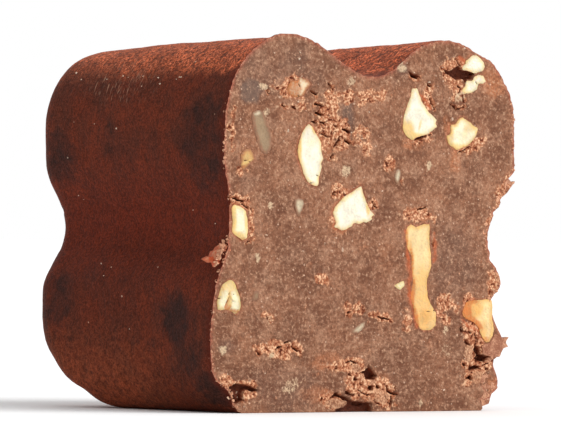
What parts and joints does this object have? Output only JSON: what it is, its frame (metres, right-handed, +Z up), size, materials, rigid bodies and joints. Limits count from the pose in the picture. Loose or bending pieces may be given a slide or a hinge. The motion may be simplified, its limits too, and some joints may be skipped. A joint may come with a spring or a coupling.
{
  "type": "chocolate truffle",
  "caption": "Cut end of a four-lobed bar of chocolate ganache, its upright cut face set with chopped nuts; lies on a flat base.",
  "frame": {"origin": "middle of the footprint of the whole, on the plane that the flat base rests on", "axes": "+Z up, +Y from the cut face towards the rounded end, +X to the right for someone who looks at the cut face"},
  "size_m": [0.029, 0.0246, 0.0279],
  "materials": {
    "ganache": "dark, dusted moulded skin; dull brown, torn and crumbly cut face",
    "nut_flesh": "ivory to golden, waxy, with darker skin at the edges"
  },
  "bodies": {
    "root": {"truffle": "ganache", "nut_faint_chip": "nut_flesh", "nut_left_lower": "nut_flesh", "nut_left_small": "nut_flesh", "nut_left_waist": "nut_flesh", "nut_lens": "nut_flesh", "nut_long_strip": "nut_flesh", "nut_low_chip": "nut_flesh", "nut_low_sliver": "nut_flesh", "nut_middle_kite": "nut_flesh", "nut_pale_sliver": "nut_flesh", "nut_pale_streak": "nut_flesh", "nut_right_corner": "nut_flesh", "nut_small_wedge": "nut_flesh", "nut_top_right": "nut_flesh", "nut_top_right_small": "nut_flesh", "nut_upper_kite": "nut_flesh", "nut_upper_left": "nut_flesh", "nut_upper_round": "nut_flesh"}
  },
  "joints": []
}
